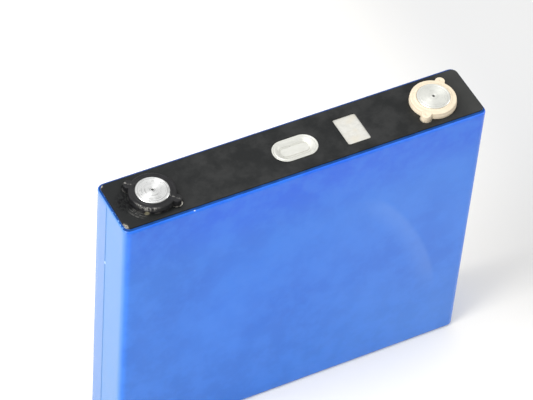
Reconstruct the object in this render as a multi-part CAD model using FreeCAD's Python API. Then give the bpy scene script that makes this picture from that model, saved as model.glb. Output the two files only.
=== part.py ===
"""Prismatic lithium battery cell: a wrapped aluminium can with two wound electrode rolls inside.

Frame: origin at the middle of the underside, +X towards the positive terminal, +Y towards the rear
face, +Z up. Millimetres. Every separate piece of the cell is one node, written as parts/NODE.step.
"""
import FreeCAD
import Part

import math
import os

# Overall size of the wrapped cell
CELL_WIDTH = 148.0
CELL_THICKNESS = 26.0
SHEET_TOP = 123.0
TERMINAL_TOP = 126.0

# Blue film around the can, and the lap where its two ends meet on the narrow negative end
FILM = 0.15
EDGE_RADIUS = 3.0
BOTTOM_RADIUS = 1.5
SHOULDER_RADIUS = 0.9
FILM_LIP_SIDES = {"front": 1.75, "rear": 1.1}
FILM_LIP_ENDS = {"negative": 1.0, "positive": 0.5}
FILM_OPENING_RADIUS = 2.25
LAP_FRONT_EDGE = 3.0
LAP_REAR_EDGE = 9.8
LAP_END_CLEARANCE = 1.6

# Drawn can, its bottom pad and its lid
PAD_THICKNESS = 0.3
CAN_WALL = 0.8
CAN_BOTTOM = 1.0
CAN_INNER_BOTTOM_RADIUS = 1.0
SHEET_THICKNESS = 0.5
LID_THICKNESS = 2.0

# Black insulating sheet on the lid, inside the film's turned-in lip
SHEET_GAP = 0.05
WINDOW_X = 23.4
WINDOW_WIDTH = 9.4
WINDOW_DEPTH = 13.5
WINDOW_RADIUS = 0.8

# Terminals: a round aluminium disc in a moulded ring with two ears
TERMINAL_X = 57.5
DISC_RADIUS = 6.35
DISC_EDGE = 0.45
DIMPLE_RADIUS = 0.65
DIMPLE_DEPTH = 0.7
RING_RADIUS = 8.7
RING_FLANGE_RADIUS = 8.9
RING_TOP = 125.75
RING_LIP_RADIUS = 7.1
RING_LIP_HEIGHT = 0.25
RING_EDGE = 0.45
RING_FLANGE_EDGE = 0.15
RING_FLANGE_HEIGHT = 1.5
RING_FLOOR = 0.8
RING_POCKET_GAP = 0.05
RING_SPIGOT = 1.2
EAR_DISTANCE = 9.15
EAR_RADIUS = 1.85
EAR_DROP = 0.1
EAR_EDGE = 0.4
EAR_DIMPLE_RADIUS = 0.55
EAR_DIMPLE_DEPTH = 0.3
RING_CUTOUT_RADIUS = 8.95
EAR_CUTOUT_DISTANCE = 9.25
EAR_CUTOUT_RADIUS = 2.3
EAR_ANGLE = {"negative": -45.0, "positive": 45.0}

# Pole that carries the current through the lid
POLE_RADIUS = 3.5
POLE_GRIP = 1.6
POLE_FLANGE_RADIUS = 8.0
POLE_FLANGE = 1.5
LID_HOLE_RADIUS = 4.6
SEAL_FLANGE_RADIUS = 6.0

# Insulators under the lid
LOWER_INSULATOR = 1.2
LOWER_INSULATOR_X = (40.0, 72.0)
LOWER_INSULATOR_DEPTH = 21.0
SKIRT_HEIGHT = 2.5
SKIRT_THICKNESS = 1.0
GUARD_WIDTH = 40.0
GUARD_SLOTS = 5
GUARD_SLOT_WIDTH = 1.4
GUARD_SLOT_DEPTH = 9.0
GUARD_SLOT_PITCH = 2.8

# Safety vent: a stamped oval frame with a scored membrane under it
VENT_STRAIGHT = 3.7
VENT_FRAME_RADIUS = 5.3
VENT_CUTOUT_GAP = 0.1
VENT_FRAME_DEPTH = 1.0
VENT_RIM_HEIGHT = 0.4
VENT_GROOVE_RADII = (4.35, 4.75)
VENT_GROOVE_DEPTH = 0.2
VENT_RIM_INNER_RADIUS = 4.15
VENT_RIM_INNER_CORNER = 4.05
VENT_THROAT_HALF_LENGTH = 5.6
VENT_THROAT_HALF_WIDTH = 2.8
VENT_THROAT_CORNER = 1.8
VENT_BEVEL_DEPTH = 0.95
VENT_SEAT_RADIUS = 3.4
VENT_MEMBRANE = 0.3
VENT_HOLE_RADIUS = 2.6
SCORE_RADIUS = 2.0
SCORE_WIDTH = 0.3
SCORE_DEPTH = 0.15

# Electrolyte filling port, closed by a rubber plug and a welded cap
PORT_X = -30.0
PORT_RADIUS = 1.3
PLUG_HEAD_RADIUS = 2.2
PLUG_HEAD = 0.5
PLUG_TAIL = 0.7
CAP_RADIUS = 3.2
CAP_THICKNESS = 0.8

# Wound rolls, lying with their winding axis along X
ROLL_CENTRE_Y = 5.85
ROLL_HALF_THICKNESS = 5.65
ROLL_HALF_LENGTH = 62.0
ROLL_BOTTOM = 3.0
ROLL_TOP = 114.0
SEPARATOR_WRAP = 0.2
FOIL_HALF_THICKNESS = 5.3
FOIL_PINCH_START = 63.0
FOIL_PINCH_END = 66.0
FOIL_TIP = 71.2
FOIL_PINCHED_HALF = 0.7
FOIL_BOTTOM = 10.0
FOIL_TOP = 107.0
TAPE = 0.1
TAPE_WIDTH = 20.0
TAPE_X = 42.0
TAPE_Z = (34.0, 83.0)
TAPE_HEIGHT = 8.0

# Current collectors, from the pole down to the pinched foils
COLLECTOR = 0.8
COLLECTOR_X = (49.0, 71.2)
COLLECTOR_HALF_DEPTH = 8.0
LEG_X = (66.4, 71.2)
LEG_BOTTOM = 25.0
CLIP = 0.3
CLIP_HEIGHT = 60.0

# Bag and support plate between the rolls and the can
BAG = 0.2
BAG_GAP = 0.1
BAG_TOP = 116.0
BAG_CORNER_RADIUS = 2.0
SUPPORT_LENGTH = 138.0
SUPPORT_DEPTH = 21.0
SUPPORT_THICKNESS = 0.9
SUPPORT_HOLES = 5
SUPPORT_HOLE_RADIUS = 3.0
SUPPORT_HOLE_PITCH = 24.0

# Levels and outlines that follow from the dimensions above
CAN_WIDTH = CELL_WIDTH - 2 * FILM
CAN_DEPTH = CELL_THICKNESS - 2 * FILM
CAN_BASE = FILM + PAD_THICKNESS
LID_TOP = SHEET_TOP - SHEET_THICKNESS
LID_UNDERSIDE = LID_TOP - LID_THICKNESS
CAVITY_WIDTH = CAN_WIDTH - 2 * CAN_WALL
CAVITY_DEPTH = CAN_DEPTH - 2 * CAN_WALL
CAVITY_FLOOR = CAN_BASE + CAN_BOTTOM
CAN_EDGE_RADIUS = EDGE_RADIUS - FILM
CAVITY_EDGE_RADIUS = CAN_EDGE_RADIUS - CAN_WALL
CAN_BOTTOM_RADIUS = BOTTOM_RADIUS - FILM
CAN_SHOULDER_RADIUS = SHOULDER_RADIUS - FILM
RING_POCKET_FLOOR = LID_TOP + RING_FLOOR
INSULATOR_UNDERSIDE = LID_UNDERSIDE - LOWER_INSULATOR
POLE_UNDERSIDE = INSULATOR_UNDERSIDE - POLE_FLANGE
COLLECTOR_UNDERSIDE = POLE_UNDERSIDE - COLLECTOR

SIDES = (("negative", -1), ("positive", 1))
ROLLS = (("front", -1), ("rear", 1))


def save(node, shape):
    """Writes one node."""
    shape.exportStep("parts/" + node + ".step")


def block(x0, x1, y0, y1, z0, z1):
    """A plain box between the given limits, in either order."""
    low = FreeCAD.Vector(min(x0, x1), min(y0, y1), min(z0, z1))
    return Part.makeBox(abs(x1 - x0), abs(y1 - y0), abs(z1 - z0), low)


def cylinder(radius, z0, z1, x=0.0, y=0.0):
    """An upright cylinder."""
    return Part.makeCylinder(radius, z1 - z0, FreeCAD.Vector(x, y, z0))


def rounded_plate(width, depth, radius, z0, z1, x=0.0, y=0.0):
    """An upright prism on a rounded rectangle centred at x, y."""
    plate = block(x - width / 2, x + width / 2, y - depth / 2, y + depth / 2, z0, z1)
    upright = [e for e in plate.Edges if abs(e.BoundBox.ZLength - (z1 - z0)) < 1e-6]
    return plate.makeFillet(radius, upright)


def edges_at(shape, z):
    """The edges of a shape that lie flat at one height."""
    return [e for e in shape.Edges if abs(e.BoundBox.ZMin - z) < 1e-6 and abs(e.BoundBox.ZMax - z) < 1e-6]


def rounded_box(width, depth, z0, z1, corner, bottom, top=0.0):
    """A rounded plate with its lower edges rounded too, and its upper ones if top is given."""
    box = rounded_plate(width, depth, corner, z0, z1)
    box = box.makeFillet(bottom, edges_at(box, z0))
    if top:
        box = box.makeFillet(top, edges_at(box, z1))
    return box


def stadium(radius, z0, z1):
    """An upright prism on the vent's oval: straight sides and round ends."""
    solid = block(-VENT_STRAIGHT, VENT_STRAIGHT, -radius, radius, z0, z1)
    for x in (-VENT_STRAIGHT, VENT_STRAIGHT):
        solid = solid.fuse(cylinder(radius, z0, z1, x))
    return solid.removeSplitter()


def rounded_wire(width, depth, radius, z):
    """A flat rounded rectangle."""
    plate = rounded_plate(width, depth, radius, z, z + 1)
    base = [face for face in plate.Faces if abs(face.BoundBox.ZMax - z) < 1e-6][0]
    return base.OuterWire


def racetrack(half_thickness, y, bottom, top, half_length):
    """A flattened roll with its axis along X: flat sides, and round turns at the bottom and top."""
    low = bottom + half_thickness
    high = top - half_thickness
    solid = block(-half_length, half_length, y - half_thickness, y + half_thickness, low, high)
    for z in (low, high):
        start = FreeCAD.Vector(-half_length, y, z)
        turn = Part.makeCylinder(half_thickness, 2 * half_length, start, FreeCAD.Vector(1, 0, 0))
        solid = solid.fuse(turn)
    return solid.removeSplitter()


def ear_centres(polarity, side, distance):
    """The two points, on one diagonal through a terminal, where its ears stand."""
    angle = math.radians(EAR_ANGLE[polarity])
    x = distance * math.cos(angle)
    y = distance * math.sin(angle)
    return [(side * TERMINAL_X + s * x, s * y) for s in (1, -1)]


def film_opening(gap, z0, z1):
    """An upright prism on the opening inside the film's lip, smaller by a gap all round."""
    ends = FILM_LIP_ENDS
    sides = FILM_LIP_SIDES
    width = CELL_WIDTH - ends["negative"] - ends["positive"] - 2 * gap
    depth = CELL_THICKNESS - sides["front"] - sides["rear"] - 2 * gap
    centre_x = (ends["negative"] - ends["positive"]) / 2
    centre_y = (sides["front"] - sides["rear"]) / 2
    return rounded_plate(width, depth, FILM_OPENING_RADIUS - gap, z0, z1, centre_x, centre_y)


def film_wrap():
    """Blue film round the can's walls and bottom, turned over the rim, with a lap on one end."""
    lip_top = LID_TOP + FILM
    outer = rounded_box(CELL_WIDTH, CELL_THICKNESS, 0, lip_top, EDGE_RADIUS, BOTTOM_RADIUS, SHOULDER_RADIUS)
    inner = rounded_box(
        CAN_WIDTH, CAN_DEPTH, FILM, LID_TOP, CAN_EDGE_RADIUS, CAN_BOTTOM_RADIUS, CAN_SHOULDER_RADIUS
    )
    opening = film_opening(0, LID_TOP - SHOULDER_RADIUS, SHEET_TOP)
    end = CELL_WIDTH / 2
    lap = block(
        -end - FILM, -end, LAP_FRONT_EDGE, LAP_REAR_EDGE, LAP_END_CLEARANCE, LID_TOP - LAP_END_CLEARANCE
    )
    return outer.cut(inner).cut(opening).fuse(lap).removeSplitter()


def bottom_pad():
    """Insulating pad between the can's underside and the film."""
    width = CAN_WIDTH - 2 * CAN_BOTTOM_RADIUS
    depth = CAN_DEPTH - 2 * CAN_BOTTOM_RADIUS
    return rounded_plate(width, depth, CAN_EDGE_RADIUS - CAN_BOTTOM_RADIUS, FILM, CAN_BASE)


def can():
    """Deep-drawn aluminium can, open at the top, its rim rounded by the lid's weld."""
    outer = rounded_box(
        CAN_WIDTH, CAN_DEPTH, CAN_BASE, LID_TOP, CAN_EDGE_RADIUS, CAN_BOTTOM_RADIUS, CAN_SHOULDER_RADIUS
    )
    cavity = rounded_box(
        CAVITY_WIDTH, CAVITY_DEPTH, CAVITY_FLOOR, SHEET_TOP, CAVITY_EDGE_RADIUS, CAN_INNER_BOTTOM_RADIUS
    )
    return outer.cut(cavity)


def lid():
    """Aluminium lid with two pole holes, the vent's stepped hole and the filling port."""
    plate = rounded_plate(CAVITY_WIDTH, CAVITY_DEPTH, CAVITY_EDGE_RADIUS, LID_UNDERSIDE, LID_TOP)
    head_top = LID_TOP - CAP_THICKNESS
    tools = [
        stadium(VENT_HOLE_RADIUS, LID_UNDERSIDE, LID_TOP),
        stadium(VENT_FRAME_RADIUS, LID_TOP - VENT_FRAME_DEPTH, LID_TOP),
        cylinder(PORT_RADIUS, LID_UNDERSIDE, LID_TOP, PORT_X),
        cylinder(PLUG_HEAD_RADIUS, head_top - PLUG_HEAD, LID_TOP, PORT_X),
        cylinder(CAP_RADIUS, head_top, LID_TOP, PORT_X),
    ]
    for _, side in SIDES:
        tools.append(cylinder(LID_HOLE_RADIUS, LID_UNDERSIDE, LID_TOP, side * TERMINAL_X))
    for tool in tools:
        plate = plate.cut(tool)
    return plate


def top_sheet():
    """Black insulating sheet, cut out round the terminals, the vent and the bare window."""
    sheet = film_opening(SHEET_GAP, LID_TOP, SHEET_TOP)
    sheet = sheet.cut(stadium(VENT_FRAME_RADIUS + VENT_CUTOUT_GAP, LID_TOP, SHEET_TOP))
    window = rounded_plate(WINDOW_WIDTH, WINDOW_DEPTH, WINDOW_RADIUS, LID_TOP, SHEET_TOP, WINDOW_X)
    sheet = sheet.cut(window)
    for polarity, side in SIDES:
        sheet = sheet.cut(cylinder(RING_CUTOUT_RADIUS, LID_TOP, SHEET_TOP, side * TERMINAL_X))
        for x, y in ear_centres(polarity, side, EAR_CUTOUT_DISTANCE):
            sheet = sheet.cut(cylinder(EAR_CUTOUT_RADIUS, LID_TOP, SHEET_TOP, x, y))
    return sheet


def vent_frame():
    """Stamped oval frame: a flat rim, a bevel down to the throat, and a seat for the membrane."""
    base = LID_TOP - VENT_FRAME_DEPTH
    rim = LID_TOP + VENT_RIM_HEIGHT
    frame = stadium(VENT_FRAME_RADIUS, base, rim)
    throat_length = 2 * VENT_THROAT_HALF_LENGTH
    throat_width = 2 * VENT_THROAT_HALF_WIDTH
    mouth_length = 2 * (VENT_STRAIGHT + VENT_RIM_INNER_RADIUS)
    mouth = rounded_wire(mouth_length, 2 * VENT_RIM_INNER_RADIUS, VENT_RIM_INNER_CORNER, rim)
    throat = rounded_wire(throat_length, throat_width, VENT_THROAT_CORNER, rim - VENT_BEVEL_DEPTH)
    frame = frame.cut(Part.makeLoft([throat, mouth], True, True))
    frame = frame.cut(rounded_plate(throat_length, throat_width, VENT_THROAT_CORNER, base, rim))
    inner, outer = VENT_GROOVE_RADII
    groove = stadium(outer, rim - VENT_GROOVE_DEPTH, rim).cut(stadium(inner, rim - VENT_GROOVE_DEPTH, rim))
    frame = frame.cut(groove)
    return frame.cut(stadium(VENT_SEAT_RADIUS, base, base + VENT_MEMBRANE))


def vent_membrane():
    """Thin burst membrane with a scored line round it."""
    base = LID_TOP - VENT_FRAME_DEPTH
    top = base + VENT_MEMBRANE
    score = stadium(SCORE_RADIUS + SCORE_WIDTH, top - SCORE_DEPTH, top)
    score = score.cut(stadium(SCORE_RADIUS, top - SCORE_DEPTH, top))
    return stadium(VENT_SEAT_RADIUS, base, top).cut(score)


def vent_guard():
    """Slotted plastic plate under the lid that keeps the rolls away from the vent."""
    depth = LOWER_INSULATOR_DEPTH / 2
    guard = block(-GUARD_WIDTH / 2, GUARD_WIDTH / 2, -depth, depth, INSULATOR_UNDERSIDE, LID_UNDERSIDE)
    for i in range(GUARD_SLOTS):
        x = (i - (GUARD_SLOTS - 1) / 2) * GUARD_SLOT_PITCH
        slot = rounded_plate(
            GUARD_SLOT_WIDTH, GUARD_SLOT_DEPTH, GUARD_SLOT_WIDTH / 3, INSULATOR_UNDERSIDE, LID_UNDERSIDE, x
        )
        guard = guard.cut(slot)
    return guard


def fill_plug():
    """Rubber plug pressed into the filling port."""
    head_top = LID_TOP - CAP_THICKNESS
    head = cylinder(PLUG_HEAD_RADIUS, head_top - PLUG_HEAD, head_top, PORT_X)
    stem = cylinder(PORT_RADIUS, LID_UNDERSIDE - PLUG_TAIL, head_top - PLUG_HEAD, PORT_X)
    return head.fuse(stem)


def fill_cap():
    """Welded cap over the plug, flush with the lid."""
    return cylinder(CAP_RADIUS, LID_TOP - CAP_THICKNESS, LID_TOP, PORT_X)


def terminal_disc(side):
    """Turned aluminium disc with a rounded edge, a centre dimple and a blind hole for the pole."""
    x = side * TERMINAL_X
    disc = cylinder(DISC_RADIUS, RING_POCKET_FLOOR, TERMINAL_TOP, x)
    disc = disc.makeFillet(DISC_EDGE, edges_at(disc, TERMINAL_TOP))
    dimple_bottom = TERMINAL_TOP - DIMPLE_DEPTH
    dimple = Part.makeCone(0, DIMPLE_RADIUS, DIMPLE_DEPTH, FreeCAD.Vector(x, 0, dimple_bottom))
    grip = cylinder(POLE_RADIUS, RING_POCKET_FLOOR, RING_POCKET_FLOOR + POLE_GRIP, x)
    return disc.cut(dimple).cut(grip)


def pole(side):
    """Pole: a flange under the lid and a shank up into the disc."""
    x = side * TERMINAL_X
    flange = cylinder(POLE_FLANGE_RADIUS, POLE_UNDERSIDE, INSULATOR_UNDERSIDE, x)
    shank = cylinder(POLE_RADIUS, INSULATOR_UNDERSIDE, RING_POCKET_FLOOR + POLE_GRIP, x)
    return flange.fuse(shank)


def terminal_ring(polarity, side):
    """Moulded ring on the lid that holds the disc, with two ears and a spigot into the lid's hole."""
    x = side * TERMINAL_X
    shoulder = RING_TOP - RING_LIP_HEIGHT
    ring = cylinder(RING_RADIUS, LID_TOP, shoulder, x)
    ring = ring.makeFillet(RING_EDGE, edges_at(ring, shoulder))
    ring = ring.fuse(cylinder(RING_LIP_RADIUS, LID_TOP, RING_TOP, x))
    flange = cylinder(RING_FLANGE_RADIUS, LID_TOP, LID_TOP + RING_FLANGE_HEIGHT, x)
    ring = ring.fuse(flange.makeFillet(RING_FLANGE_EDGE, edges_at(flange, LID_TOP + RING_FLANGE_HEIGHT)))
    ear_top = shoulder - EAR_DROP
    dimple_bottom = ear_top - EAR_DIMPLE_DEPTH
    for ear_x, ear_y in ear_centres(polarity, side, EAR_DISTANCE):
        ear = cylinder(EAR_RADIUS, LID_TOP, ear_top, ear_x, ear_y)
        ring = ring.fuse(ear.makeFillet(EAR_EDGE, edges_at(ear, ear_top)))
    for ear_x, ear_y in ear_centres(polarity, side, EAR_DISTANCE + EAR_DIMPLE_RADIUS):
        ring = ring.cut(cylinder(EAR_DIMPLE_RADIUS, dimple_bottom, RING_TOP, ear_x, ear_y))
    ring = ring.fuse(cylinder(LID_HOLE_RADIUS, LID_TOP - RING_SPIGOT, LID_TOP, x))
    ring = ring.cut(cylinder(DISC_RADIUS + RING_POCKET_GAP, RING_POCKET_FLOOR, RING_TOP, x))
    return ring.cut(cylinder(POLE_RADIUS, LID_TOP - RING_SPIGOT, RING_POCKET_FLOOR, x))


def pole_seal(side):
    """Rubber seal squeezed between the pole, the lid and the pole's flange."""
    x = side * TERMINAL_X
    flange = cylinder(SEAL_FLANGE_RADIUS, INSULATOR_UNDERSIDE, LID_UNDERSIDE, x)
    collar = cylinder(LID_HOLE_RADIUS, LID_UNDERSIDE, LID_TOP - RING_SPIGOT, x)
    return flange.fuse(collar).cut(cylinder(POLE_RADIUS, INSULATOR_UNDERSIDE, LID_TOP, x))


def lower_insulator(side):
    """Plastic plate under the lid at one terminal, with a skirt down each long side."""
    x0, x1 = (side * x for x in LOWER_INSULATOR_X)
    depth = LOWER_INSULATOR_DEPTH / 2
    plate = block(x0, x1, -depth, depth, INSULATOR_UNDERSIDE, LID_UNDERSIDE)
    for s in (-1, 1):
        skirt = block(
            x0, x1, s * depth, s * (depth - SKIRT_THICKNESS), INSULATOR_UNDERSIDE - SKIRT_HEIGHT, LID_UNDERSIDE
        )
        plate = plate.fuse(skirt)
    hole = cylinder(SEAL_FLANGE_RADIUS, INSULATOR_UNDERSIDE, LID_UNDERSIDE, side * TERMINAL_X)
    return plate.removeSplitter().cut(hole)


def collector(side):
    """Current collector: a plate under the pole and two legs beside the pinched foils."""
    x0, x1 = (side * x for x in COLLECTOR_X)
    half = COLLECTOR_HALF_DEPTH
    plate = block(x0, x1, -half, half, COLLECTOR_UNDERSIDE, POLE_UNDERSIDE)
    outer = ROLL_CENTRE_Y - FOIL_PINCHED_HALF
    for s in (-1, 1):
        leg = block(
            side * LEG_X[0], side * LEG_X[1], s * (outer - COLLECTOR), s * outer, LEG_BOTTOM, POLE_UNDERSIDE
        )
        plate = plate.fuse(leg)
    return plate.removeSplitter()


def weld_clips(side):
    """Two thin clips that back the foils where they are welded to the collector's legs."""
    middle = (FOIL_BOTTOM + FOIL_TOP) / 2
    inner = ROLL_CENTRE_Y + FOIL_PINCHED_HALF
    clips = [
        block(
            side * LEG_X[0],
            side * LEG_X[1],
            s * inner,
            s * (inner + CLIP),
            middle - CLIP_HEIGHT / 2,
            middle + CLIP_HEIGHT / 2,
        )
        for s in (-1, 1)
    ]
    return Part.makeCompound(clips)


def roll_core(row):
    """Wound electrodes of one roll, inside its last turns of separator."""
    inset = SEPARATOR_WRAP
    return racetrack(
        ROLL_HALF_THICKNESS - inset, row * ROLL_CENTRE_Y, ROLL_BOTTOM + inset, ROLL_TOP - inset, ROLL_HALF_LENGTH
    )


def roll_separator(row):
    """Last turns of separator round one roll."""
    outer = racetrack(ROLL_HALF_THICKNESS, row * ROLL_CENTRE_Y, ROLL_BOTTOM, ROLL_TOP, ROLL_HALF_LENGTH)
    return outer.cut(roll_core(row))


def foils(row, side):
    """Bare foil edges at one end of a roll, gathered and pinched flat for the weld."""
    half = ((ROLL_HALF_LENGTH, FOIL_HALF_THICKNESS), (FOIL_PINCH_START, FOIL_HALF_THICKNESS),
            (FOIL_PINCH_END, FOIL_PINCHED_HALF), (FOIL_TIP, FOIL_PINCHED_HALF))
    outline = [(x, t) for x, t in half] + [(x, -t) for x, t in reversed(half)]
    points = [FreeCAD.Vector(side * x, row * ROLL_CENTRE_Y + t, FOIL_BOTTOM) for x, t in outline]
    face = Part.Face(Part.makePolygon(points + points[:1]))
    return face.extrude(FreeCAD.Vector(0, 0, FOIL_TOP - FOIL_BOTTOM))


def roll_tapes():
    """Short tapes that close the rolls' last turns, on their outer flat sides."""
    outer = ROLL_CENTRE_Y + ROLL_HALF_THICKNESS
    tapes = [
        block(
            side * TAPE_X - TAPE_WIDTH / 2, side * TAPE_X + TAPE_WIDTH / 2,
            row * outer, row * (outer + TAPE), z - TAPE_HEIGHT / 2, z + TAPE_HEIGHT / 2,
        )
        for _, side in SIDES
        for _, row in ROLLS
        for z in TAPE_Z
    ]
    return Part.makeCompound(tapes)


def inner_bag():
    """Insulating bag, open at the top, between the rolls and the can."""
    gap = 2 * BAG_GAP
    wall = 2 * BAG
    base = CAVITY_FLOOR + BAG_GAP
    outer = rounded_box(
        CAVITY_WIDTH - gap, CAVITY_DEPTH - gap, base, BAG_TOP, BAG_CORNER_RADIUS, CAN_INNER_BOTTOM_RADIUS
    )
    inner = rounded_box(
        CAVITY_WIDTH - gap - wall,
        CAVITY_DEPTH - gap - wall,
        base + BAG,
        LID_TOP,
        BAG_CORNER_RADIUS - BAG,
        CAN_INNER_BOTTOM_RADIUS - BAG,
    )
    return outer.cut(inner)


def bottom_support():
    """Perforated plate under the rolls, inside the bag."""
    base = CAVITY_FLOOR + BAG_GAP + BAG
    plate = rounded_plate(SUPPORT_LENGTH, SUPPORT_DEPTH, BAG_CORNER_RADIUS, base, base + SUPPORT_THICKNESS)
    for i in range(SUPPORT_HOLES):
        x = (i - (SUPPORT_HOLES - 1) / 2) * SUPPORT_HOLE_PITCH
        plate = plate.cut(cylinder(SUPPORT_HOLE_RADIUS, base, base + SUPPORT_THICKNESS, x))
    return plate


def main():
    os.makedirs("parts", exist_ok=True)
    save("film_wrap", film_wrap())
    save("bottom_pad", bottom_pad())
    save("can", can())
    save("lid", lid())
    save("top_sheet", top_sheet())
    save("vent_frame", vent_frame())
    save("vent_membrane", vent_membrane())
    save("vent_guard", vent_guard())
    save("fill_plug", fill_plug())
    save("fill_cap", fill_cap())
    for polarity, side in SIDES:
        save(polarity + "_terminal_disc", terminal_disc(side))
        save(polarity + "_terminal_ring", terminal_ring(polarity, side))
        save(polarity + "_pole", pole(side))
        save(polarity + "_pole_seal", pole_seal(side))
        save(polarity + "_lower_insulator", lower_insulator(side))
        save(polarity + "_collector", collector(side))
        save(polarity + "_weld_clips", weld_clips(side))
    for place, row in ROLLS:
        save(place + "_roll", roll_core(row))
        save(place + "_roll_separator", roll_separator(row))
        save(place + "_copper_foils", foils(row, -1))
        save(place + "_aluminium_foils", foils(row, 1))
    save("roll_tapes", roll_tapes())
    save("inner_bag", inner_bag())
    save("bottom_support", bottom_support())


main()
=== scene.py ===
import math
import random

import bpy
from mathutils import Matrix, Vector, noise
from mathutils.geometry import delaunay_2d_cdt


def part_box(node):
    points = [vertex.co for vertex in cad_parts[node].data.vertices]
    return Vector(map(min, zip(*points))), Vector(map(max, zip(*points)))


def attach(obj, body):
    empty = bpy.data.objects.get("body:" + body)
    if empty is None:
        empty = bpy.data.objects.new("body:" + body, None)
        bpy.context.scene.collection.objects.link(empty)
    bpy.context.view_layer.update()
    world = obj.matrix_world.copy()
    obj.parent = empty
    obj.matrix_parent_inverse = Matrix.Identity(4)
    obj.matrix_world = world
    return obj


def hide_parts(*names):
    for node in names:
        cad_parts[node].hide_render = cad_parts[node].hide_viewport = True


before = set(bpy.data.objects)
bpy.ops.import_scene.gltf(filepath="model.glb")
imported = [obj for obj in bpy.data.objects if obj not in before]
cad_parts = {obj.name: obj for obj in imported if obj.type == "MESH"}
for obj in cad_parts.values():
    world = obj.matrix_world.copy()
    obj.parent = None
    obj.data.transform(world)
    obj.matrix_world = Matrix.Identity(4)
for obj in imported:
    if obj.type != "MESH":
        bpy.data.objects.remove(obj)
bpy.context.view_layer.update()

MM = 0.001
TURN = 2 * math.pi
ROOT = "root"

# The view: where the camera looks, from which side, how far off, and how it leans.
CAMERA_AIM = Vector((-10.05, 0.0, 99.03)) * MM
CAMERA_AZIMUTH = math.radians(-30.81)
CAMERA_ELEVATION = math.radians(47.81)
CAMERA_ROLL = math.radians(5.07)
CAMERA_DISTANCE = 1096.2 * MM
CAMERA_LENS = 201.2
CAMERA_SENSOR = 36.0

# The studio: a pale floor with painted shade greying its far right, and a sky that dims to the horizon.
FLOOR_RADIUS = 3.0
FLOOR_SIDES = 64
FLOOR_DROP = 0.02 * MM
FLOOR_COLOUR = (0.94, 0.915, 0.85)
FLOOR_SHADE_COLOUR = (0.655, 0.655, 0.65)
SKY_COLOUR = (1.0, 1.0, 1.0)
SKY_START = 0.05
SKY_END = 0.6
SKY_LOW = 0.45
SKY_HIGH = 0.85

# The cell's own measures, read from the frame.
FILM_LOW, FILM_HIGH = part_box("film_wrap")
SHEET_LOW, SHEET_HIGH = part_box("top_sheet")
VENT_LOW, VENT_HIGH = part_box("vent_frame")
MEMBRANE_LOW, MEMBRANE_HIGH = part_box("vent_membrane")
DISC_LOW, DISC_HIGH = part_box("positive_terminal_disc")
TERMINAL_X = (DISC_LOW.x + DISC_HIGH.x) / 2

# The film's folds, as in the design.
EDGE_RADIUS = 3.0 * MM
BOTTOM_RADIUS = 1.5 * MM
SHOULDER_RADIUS = 0.9 * MM
SHOULDER_STEPS = 8
WALL_STEPS = 68
FILM_THICKNESS = 0.14 * MM
LIP_GAP = 0.05 * MM
LIP_CORNER_RADIUS = 2.25 * MM
LIP_START_SIDES = 0.72 * MM
LIP_START_ENDS = 0.30 * MM
LAP_RISE = 0.15 * MM
LAP_START = 3.0 * MM
LAP_END = 9.8 * MM
LAP_TAPER = 0.9 * MM
LAP_EDGE_START = LAP_START - 0.04 * MM
LAP_EDGE_END = LAP_START + 0.02 * MM
FLAP_THICKNESS = 0.07 * MM
FLAP_SEAM = 1.2 * MM
FLAP_GAP = 0.12 * MM
FLAP_MITRE = 11.0 * MM

# The black sheet and its cut-outs.
SHEET_CORNER_RADIUS = 2.2 * MM
SHEET_CENTRE = Vector(((SHEET_LOW.x + SHEET_HIGH.x) / 2, (SHEET_LOW.y + SHEET_HIGH.y) / 2))
SHEET_HALF_X = (SHEET_HIGH.x - SHEET_LOW.x) / 2
SHEET_HALF_Y = (SHEET_HIGH.y - SHEET_LOW.y) / 2
SHEET_EDGE = 0.10 * MM
SHEET_SINK = 0.02 * MM
COARSE_PITCH = 1.8 * MM
FINE_PITCH = 0.36 * MM
CHIP_DEPTH = 0.35 * MM
CREASE_DEPTH = 0.06 * MM
RING_OPENING_RADIUS = 8.95 * MM
EAR_OPENING_DISTANCE = 9.25 * MM
EAR_OPENING_RADIUS = 2.3 * MM
OPENING_SIDES = 240
VENT_GAP = 0.1 * MM
WINDOW_X = 23.4 * MM
WINDOW_HALF_X = 4.7 * MM
WINDOW_HALF_Y = 6.75 * MM
WINDOW_RADIUS = 0.8 * MM

# The terminals: a turned disc in a moulded ring with two ears on a diagonal.
EAR_ANGLE = TURN / 8
EAR_DISTANCE = 9.15 * MM
EAR_RADIUS = 1.85 * MM
EAR_DROP = 0.10 * MM
EAR_DIP_RADIUS = 0.55 * MM
EAR_DIP_DEPTH = 0.25 * MM
RING_RADIUS = 8.7 * MM
RING_FLANGE_RADIUS = 8.9 * MM
RING_FLANGE_HEIGHT = 1.5 * MM
RING_SPIGOT = 1.2 * MM
RING_POCKET_RADIUS = 6.4 * MM
RING_LIP_RADIUS = 7.1 * MM
RING_LIP_HALF = 0.30 * MM
RING_LIP_HEIGHT = 0.25 * MM
RING_EDGE = 0.45 * MM
RING_SIDES = 288
DISC_SIDES = 128
AXIS_HOLE = 0.02 * MM
DIMPLE_RADIUS = 0.45 * MM
DIMPLE_DEPTH = 0.75 * MM
GROOVE_RADIUS = 5.35 * MM
GROOVE_DEPTH = 0.09 * MM

# The vent's panel, inside the bevel.
VENT_BEVEL_START = 0.02 * MM
VENT_BEVEL_DEPTH = 0.95 * MM
VENT_BEVEL_STEPS = 9
VENT_MOUTH = 1.15 * MM
VENT_PANEL_X = 5.6 * MM
VENT_PANEL_Y = 2.8 * MM
VENT_PANEL_RADIUS = 1.8 * MM
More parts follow.
